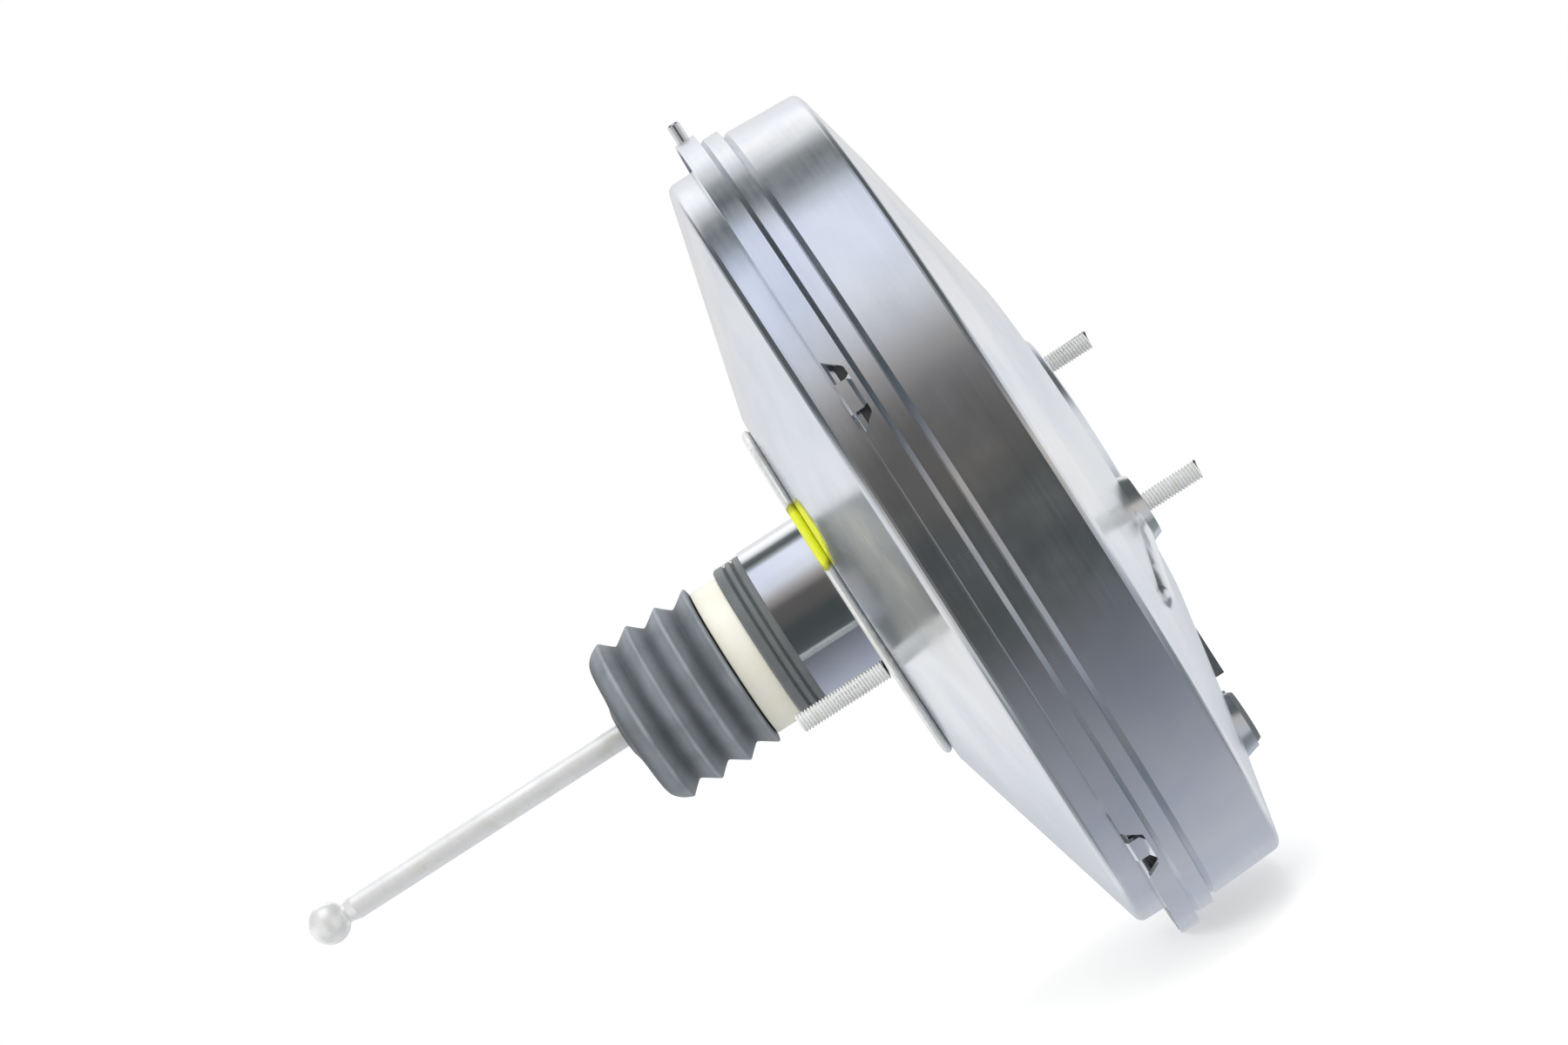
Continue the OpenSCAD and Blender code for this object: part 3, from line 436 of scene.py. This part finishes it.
for edge in shape.edges:
    edge.select_set(all(abs(vertex.co.x) < REAR_FACE_WITHIN for vertex in edge.verts))
shape.to_mesh(plate.data)
shape.free()
bpy.ops.object.mode_set(mode="EDIT")
bpy.context.tool_settings.mesh_select_mode = (False, True, False)
bpy.ops.mesh.bevel(offset=PLATE_RIM, segments=RIM_STEPS, affect="EDGES")
bpy.context.tool_settings.mesh_select_mode = (True, False, False)
bpy.ops.object.mode_set(mode="OBJECT")
bored(plate, PLATE_OPENING, (0, 0))
for side in (1, -1):
    bored(plate, PLATE_BOLT_HOLE, (side * BOLT_PLACE[0], side * BOLT_PLACE[1]))
bpy.ops.object.shade_smooth_by_angle(angle=PLATE_CREASE)
plate.data.materials.clear()
plate.data.materials.append(pale_zinc("plate_zinc", ZINC_METAL, ZINC_ROUGHNESS, painted=True))
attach(plate, "shell")
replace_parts(plate, "mounting_plate")

# Plain pressed steel, spring wire and turned steel inside the booster. Little of it shows: the
# opening in front gives a view of the brace, the spring's end, the output rod and its screw.
STEEL_GREY = (0.50, 0.52, 0.55, 1)
STEEL_DARK = (0.30, 0.31, 0.33, 1)
TURNED_BRIGHT = (0.82, 0.83, 0.84, 1)
TURNED_SHADE = (0.68, 0.69, 0.71, 1)
STEEL_PATCHES = 45.0


def machined_steel(name, light, dark, roughness, grain):
    """Bare steel with tool marks round the axis and darker patches."""
    material, shader, place, make, link = start_material(name, light, 1.0, roughness)
    marks = cloud(make, round_the_axis(make, place), grain, detail=5)
    patches = cloud(make, place, STEEL_PATCHES, detail=4, distortion=0.6)
    colour = mixed(make, between(make, patches, 0.0, 1.0), light, dark)
    gloss = between(make, marks, roughness - 0.07, roughness + 0.12)
    finish_surface(shader, make, link, colour, gloss, marks, strength=0.12, depth=0.0003)
    return material


dress(machined_steel("pressed_steel", STEEL_GREY, STEEL_DARK, roughness=0.34, grain=700.0),
      "front_brace", "diaphragm_plate", "plate_retainer", "rod_retainer", "stop_key",
      "poppet_retainer", "spring_seat")
spring_wire = machined_steel("spring_wire", STEEL_DARK, STEEL_GREY, roughness=0.3, grain=2500.0)
dress(spring_wire, "poppet_spring", "rod_spring")
dress(machined_steel("turned_steel", TURNED_BRIGHT, TURNED_SHADE, roughness=0.2, grain=1500.0),
      "output_rod", "valve_plunger", "adjusting_tip")

# The pedal rod is turned from bar, with a ball at its end for the pedal's socket. It is plated in
# the same matt zinc as the mounting plate.
dress(pale_zinc("rod_zinc", ZINC_METAL, ZINC_ROUGHNESS), "pedal_rod")

# Two through bolts hold the booster to the bulkhead and the master cylinder to the booster. Each
# is turned with two shoulders that grip the shells, and has a rolled M6 thread at both ends. The
# zinc on them is duller than on the plate.
BOLT_METAL = 0.12
BOLT_ROUGHNESS = (0.52, 0.66)
THREAD_PITCH = 0.001
THREAD_CREST = 0.00297
THREAD_ROOT = 0.00245
THREAD_STEPS = 20
THREAD_OUTLINE = ((0.0, THREAD_ROOT), (0.12, THREAD_ROOT), (0.48, THREAD_CREST),
                  (0.62, THREAD_CREST), (0.98, THREAD_ROOT))
THREAD_MERGE = 0.00003
DOUBLES_WITHIN = 0.00001
TURNED_CREASE = math.radians(32)
SHANK_RADIUS = 0.0031
MIDDLE_RADIUS = 0.0035
SHOULDER_RADIUS = 0.0070
SHOULDER_WIDTH = 0.0025
REAR_SHOULDER = 0.0056
FRONT_SHOULDER = 0.07658
FRONT_FACE = 0.0865
REAR_THREAD = (-0.030, 0.0)
FRONT_THREAD = (FRONT_FACE, FRONT_FACE + 0.019)
BOLT_SIDES = 48
BOLT_LINE = [(0.0, SHANK_RADIUS)]
for start, before, after in ((REAR_SHOULDER, SHANK_RADIUS, MIDDLE_RADIUS),
                             (FRONT_SHOULDER, MIDDLE_RADIUS, SHANK_RADIUS)):
    end = start + SHOULDER_WIDTH
    BOLT_LINE += [(start, before), (start, SHOULDER_RADIUS), (end, SHOULDER_RADIUS), (end, after)]
BOLT_LINE.append((FRONT_FACE, SHANK_RADIUS))


def extruded_along(line, sides):
    """Rings pulled from one another along X: a turned piece, open at both ends."""
    bpy.ops.object.select_all(action="DESELECT")
    bpy.ops.mesh.primitive_circle_add(vertices=sides, radius=line[0][1], fill_type="NOTHING",
                                      location=(line[0][0], 0, 0), rotation=(0, math.pi / 2, 0))
    bpy.ops.object.transform_apply(location=True, rotation=True, scale=True)
    bpy.ops.object.mode_set(mode="EDIT")
    bpy.ops.mesh.select_all(action="SELECT")
    for (x0, r0), (x1, r1) in zip(line, line[1:]):
        bpy.ops.mesh.extrude_edges_move(TRANSFORM_OT_translate={"value": (x1 - x0, 0, 0)})
        bpy.ops.transform.resize(value=(1, r1 / r0, r1 / r0), center_override=(x1, 0, 0))
    bpy.ops.object.mode_set(mode="OBJECT")
    return bpy.context.object


def thread_along(start, end, name):
    """A rolled thread: one pitch of its outline, screwed along the bolt."""
    turns = round((end - start) / THREAD_PITCH)
    mesh = bpy.data.meshes.new(name)
    mesh.from_pydata([(start + part * THREAD_PITCH, 0, radius) for part, radius in THREAD_OUTLINE],
                     [(0, 1), (1, 2), (2, 3), (3, 4)], [])
    thread = bpy.data.objects.new(name, mesh)
    bpy.context.scene.collection.objects.link(thread)
    bpy.ops.object.select_all(action="DESELECT")
    thread.select_set(True)
    bpy.context.view_layer.objects.active = thread
    screw = thread.modifiers.new("thread", "SCREW")
    screw.axis = "X"
    screw.steps = THREAD_STEPS
    screw.render_steps = THREAD_STEPS
    screw.iterations = turns - 1
    screw.screw_offset = THREAD_PITCH
    screw.use_merge_vertices = True
    screw.merge_threshold = THREAD_MERGE
    bpy.ops.object.modifier_apply(modifier="thread")
    return thread


def close_ends_and_face_out(thing):
    """Caps the open ends, joins doubles and turns all faces outwards."""
    bpy.ops.object.select_all(action="DESELECT")
    thing.select_set(True)
    bpy.context.view_layer.objects.active = thing
    bpy.ops.object.mode_set(mode="EDIT")
    bpy.ops.mesh.select_all(action="SELECT")
    bpy.ops.mesh.remove_doubles(threshold=DOUBLES_WITHIN)
    bpy.ops.mesh.select_all(action="SELECT")
    bpy.ops.mesh.fill_holes(sides=0)
    bpy.ops.mesh.select_all(action="SELECT")
    bpy.ops.mesh.normals_make_consistent(inside=False)
    bpy.ops.object.mode_set(mode="OBJECT")
    bpy.ops.object.shade_smooth_by_angle(angle=TURNED_CREASE)


def joined(name, things):
    """One object from several, under one name."""
    bpy.ops.object.select_all(action="DESELECT")
    for thing in things:
        thing.select_set(True)
    bpy.context.view_layer.objects.active = things[0]
    bpy.ops.object.join()
    whole = bpy.context.object
    whole.name = name
    whole.data.name = name
    return whole


dull_zinc = pale_zinc("dull_zinc", BOLT_METAL, BOLT_ROUGHNESS)


def threaded_bolt(name, side):
    """A shank with a thread at both ends, moved to one side of the axis."""
    shank = extruded_along(BOLT_LINE, BOLT_SIDES)
    close_ends_and_face_out(shank)
    pieces = [shank]
    for end, (start, stop) in (("rear", REAR_THREAD), ("front", FRONT_THREAD)):
        thread = thread_along(start, stop, name + "_" + end)
        close_ends_and_face_out(thread)
        pieces.append(thread)
    bolt = joined(name, pieces)
    bolt.location = (0, BOLT_PLACE[0] * side, BOLT_PLACE[1] * side)
    bpy.ops.object.transform_apply(location=True, rotation=True, scale=True)
    bolt.data.materials.clear()
    bolt.data.materials.append(dull_zinc)
    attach(bolt, "shell")
    return bolt


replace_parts(threaded_bolt("near_through_bolt", 1), "tie_bolt_near")
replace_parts(threaded_bolt("far_through_bolt", -1), "tie_bolt_far")

# The return spring is a plain coil of oiled wire between the diaphragm plate and the brace.
SPRING_WIRE = 0.0018
SPRING_RADIUS = 0.0370
SPRING_REAR = 0.0120
SPRING_FRONT = 0.0803
SPRING_TURNS = 7
SPRING_STEPS = 48
SPRING_SIDES = 12

bpy.ops.object.select_all(action="DESELECT")
bpy.ops.mesh.primitive_circle_add(vertices=SPRING_SIDES, radius=SPRING_WIRE, fill_type="NOTHING",
                                  location=(SPRING_REAR + SPRING_WIRE, 0, SPRING_RADIUS),
                                  rotation=(math.pi / 2, 0, 0))
bpy.ops.object.transform_apply(location=True, rotation=True, scale=True)
coil = bpy.context.object
coil.name = "wound_spring"
coil.data.name = "wound_spring"
winding = coil.modifiers.new("winding", "SCREW")
winding.axis = "X"
winding.steps = SPRING_STEPS
winding.render_steps = SPRING_STEPS
winding.iterations = SPRING_TURNS
winding.screw_offset = (SPRING_FRONT - SPRING_REAR - 2 * SPRING_WIRE) / SPRING_TURNS
bpy.ops.object.modifier_apply(modifier="winding")
close_ends_and_face_out(coil)
coil.data.materials.append(spring_wire)
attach(coil, "shell")
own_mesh(coil)
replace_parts(coil, "return_spring")

# Rubber: the diaphragm, the inner seals and the reaction disc are black and smooth. The grooved
# ring on the neck and the grommet of the vacuum port are grey.
RUBBER_BLACK = (0.035, 0.037, 0.04, 1)
RUBBER_WORN = (0.075, 0.08, 0.085, 1)
SEAL_GREY = (0.135, 0.148, 0.155, 1)
SEAL_PALE = (0.20, 0.215, 0.22, 1)
RUBBER_DUST = 38.0


def moulded_rubber(name, fresh, dusty, roughness, grain):
    """Rubber with fine pores and soft patches of dust."""
    material, shader, place, make, link = start_material(name, fresh, 0.0, roughness)
    dust = cloud(make, place, RUBBER_DUST, detail=5, distortion=0.5)
    pores = cloud(make, place, grain)
    colour = mixed(make, between(make, dust, 0.0, 1.0), fresh, dusty)
    gloss = between(make, dust, roughness - 0.06, roughness + 0.1)
    finish_surface(shader, make, link, colour, gloss, pores, strength=0.25, depth=0.00015)
    return material


dress(moulded_rubber("black_rubber", RUBBER_BLACK, RUBBER_WORN, roughness=0.5, grain=1800.0),
      "bolt_seal_rings", "diaphragm", "bolt_glands", "reaction_disc", "poppet_valve")
dress(moulded_rubber("seal_rubber", SEAL_GREY, SEAL_PALE, roughness=0.42, grain=1500.0),
      "neck_seal", "vacuum_grommet")

# The boot is moulded in soft grey rubber. Its bead grips the valve body, it has four folds, and its
# end wall closes round the pedal rod. It has patches of dust all over, with painted shade darkening
# the valleys and a painted highlight paling the ridges.
BOOT_GREY = (0.150, 0.176, 0.188, 1)
BOOT_DUST = (0.275, 0.302, 0.332, 1)
# The next colour is painted shade for the valleys, and the one after it is a painted highlight for
# the ridges.
VALLEY_PAINTED_SHADE = (0.055, 0.062, 0.072, 1)
RIDGE_PAINTED_HIGHLIGHT = (0.38, 0.41, 0.45, 1)
BOOT_FRONT = -0.0383
BOOT_PITCH = 0.010
BOOT_FOLDS = 4
BOOT_PEAK = 0.0269
BOOT_VALLEY = 0.0230
BOOT_WALL = 0.001
BOOT_END = -0.0754
BOOT_HOLE = 0.0041
BOOT_SIDES = 96
BEAD_RADIUS = 0.0206
# Radii where the painted shade of the valleys and the painted highlight of the ridges begin, and
# the noise that makes their edge wander.
PAINTED_SHADE_BELOW = (0.0236, 0.0259)
PAINTED_HIGHLIGHT_ABOVE = (0.0268, 0.0274)
BAND_EDGE_WANDER = 0.0011
BAND_EDGE_PATCHES = 90.0


def boot_outline():
    """Stations and radii from the front bead over the folds to the rim round the end wall."""
    line = [(BOOT_FRONT - 0.0012, BEAD_RADIUS), (BOOT_FRONT, BEAD_RADIUS + 0.0003),
            (BOOT_FRONT, BEAD_RADIUS + 0.0018), (BOOT_FRONT - 0.0004, BOOT_VALLEY)]
    for fold in range(BOOT_FOLDS):
        peak = BOOT_FRONT - 0.0009 - fold * BOOT_PITCH
        line += [(peak + 0.0006, BOOT_PEAK - 0.0007), (peak, BOOT_PEAK),
                 (peak - 0.0007, BOOT_PEAK - 0.0005)]
        if fold < BOOT_FOLDS - 1:
            valley = peak - 0.57 * BOOT_PITCH
            line += [(valley + 0.0009, BOOT_VALLEY + 0.0006), (valley, BOOT_VALLEY),
                     (valley - 0.0008, BOOT_VALLEY + 0.0006)]
    line += [(peak - 0.0028, BOOT_PEAK - 0.0013), (BOOT_END + 0.0012, 0.0236),
             (BOOT_END + 0.0004, 0.0218), (BOOT_END + 0.0005, 0.0206)]
    return line


def end_wall_outline():
    """Stations and radii from the hem under the last fold to the lip round the rod."""
    return [(BOOT_END + 0.0030, 0.0210), (BOOT_END + 0.0017, 0.0213), (BOOT_END + 0.0009, 0.0208),
            (BOOT_END + 0.0002, 0.0180), (BOOT_END - 0.0004, 0.0135), (BOOT_END - 0.0009, 0.0095),
            (BOOT_END - 0.0016, 0.0076), (BOOT_END - 0.0019, 0.0060),
            (BOOT_END - 0.0017, BOOT_HOLE + 0.0004), (BOOT_END - 0.0008, BOOT_HOLE)]


def thin_rubber(name, line):
    """A moulded wall: the outline turned, then thickened inwards and rounded."""
    thing = extruded_along(line, BOOT_SIDES)
    thing.name = name
    thing.data.name = name
    bpy.ops.object.mode_set(mode="EDIT")
    bpy.ops.mesh.select_all(action="SELECT")
    bpy.ops.mesh.normals_make_consistent(inside=False)
    bpy.ops.object.mode_set(mode="OBJECT")
    wall = thing.modifiers.new("wall", "SOLIDIFY")
    wall.thickness = BOOT_WALL
    wall.offset = -1.0
    bpy.ops.object.modifier_apply(modifier="wall")
    softer = thing.modifiers.new("softer", "SUBSURF")
    softer.levels = 1
    softer.render_levels = 1
    bpy.ops.object.modifier_apply(modifier="softer")
    bpy.ops.object.shade_smooth()
    return thing


def rubber_with_dust_and_painted_shade():
    """Moulded rubber with patches of dust, painted shade in the valleys and a painted highlight on
    the ridges.
    """
    material = moulded_rubber("boot_rubber", BOOT_GREY, BOOT_DUST, roughness=0.5, grain=1300.0)
    tree = material.node_tree
    make = node_maker(tree)
    base = tree.nodes["Principled BSDF"].inputs["Base Color"]
    surface = base.links[0].from_socket
    place = make("ShaderNodeTexCoord").outputs["Object"]
    radius = make("ShaderNodeSeparateXYZ", {0: round_the_axis(make, place)}).outputs["X"]
    # Painted shade darkens the valleys and a painted highlight pales the ridges, along an edge that
    # wanders with noise.
    patches = cloud(make, place, BAND_EDGE_PATCHES, detail=4)
    radius = reckoned(make, "ADD", radius, reckoned(make, "MULTIPLY", patches, BAND_EDGE_WANDER))
    surface = mixed(make, between(make, radius, 0.85, 0.0, *PAINTED_SHADE_BELOW), surface, VALLEY_PAINTED_SHADE)
    surface = mixed(make, between(make, radius, 0.0, 0.8, *PAINTED_HIGHLIGHT_ABOVE), surface, RIDGE_PAINTED_HIGHLIGHT)
    tree.links.new(surface, base)
    return material


# The boot's rubber: real dust patches, with painted shade in the valleys and a painted highlight on
# the ridges.
boot_dust_and_painted_shade = rubber_with_dust_and_painted_shade()
boot = thin_rubber("concertina_boot", boot_outline())
boot.data.materials.append(boot_dust_and_painted_shade)
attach(boot, "shell")
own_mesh(boot)
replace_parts(boot, "boot")

end_wall = thin_rubber("boot_end_wall", end_wall_outline())
end_wall.data.materials.append(boot_dust_and_painted_shade)
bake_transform(end_wall)

# The valve body and the bush are moulded in a cream thermoset with faint flow marks. The filter
# is open foam behind a felt ring, held by a dark plastic ring.
CREAM = (0.95, 0.93, 0.83, 1)
CREAM_SHADE = (0.91, 0.88, 0.72, 1)
FOAM = (0.12, 0.125, 0.13, 1)
FELT = (0.66, 0.63, 0.56, 1)
PLASTIC_DARK = (0.05, 0.055, 0.06, 1)


def moulded_plastic(name, light, dark, roughness, flow, grain):
    """Plastic or felt with flow marks and fine pores."""
    material, shader, place, make, link = start_material(name, light, 0.0, roughness)
    marks = cloud(make, place, flow, detail=4, distortion=1.2)
    pores = cloud(make, place, grain)
    colour = mixed(make, between(make, marks, 0.0, 1.0), light, dark)
    gloss = between(make, marks, roughness - 0.05, roughness + 0.1)
    finish_surface(shader, make, link, colour, gloss, pores, strength=0.3, depth=0.0002)
    return material


dress(moulded_plastic("cream_plastic", CREAM, CREAM_SHADE, roughness=0.42, flow=30.0, grain=900.0),
      "valve_body", "neck_bush")
dress(moulded_plastic("filter_foam", FOAM, RUBBER_WORN, roughness=0.9, flow=200.0, grain=700.0),
      "air_filter")
dress(moulded_plastic("filter_felt", FELT, CREAM_SHADE, roughness=0.95, flow=300.0, grain=1200.0),
      "silencer")
dress(moulded_plastic("dark_plastic", PLASTIC_DARK, RUBBER_WORN, roughness=0.45, flow=60.0,
                      grain=900.0), "filter_retainer")

# The picture's colours are shown as they are.
bpy.context.scene.view_settings.view_transform = "Standard"
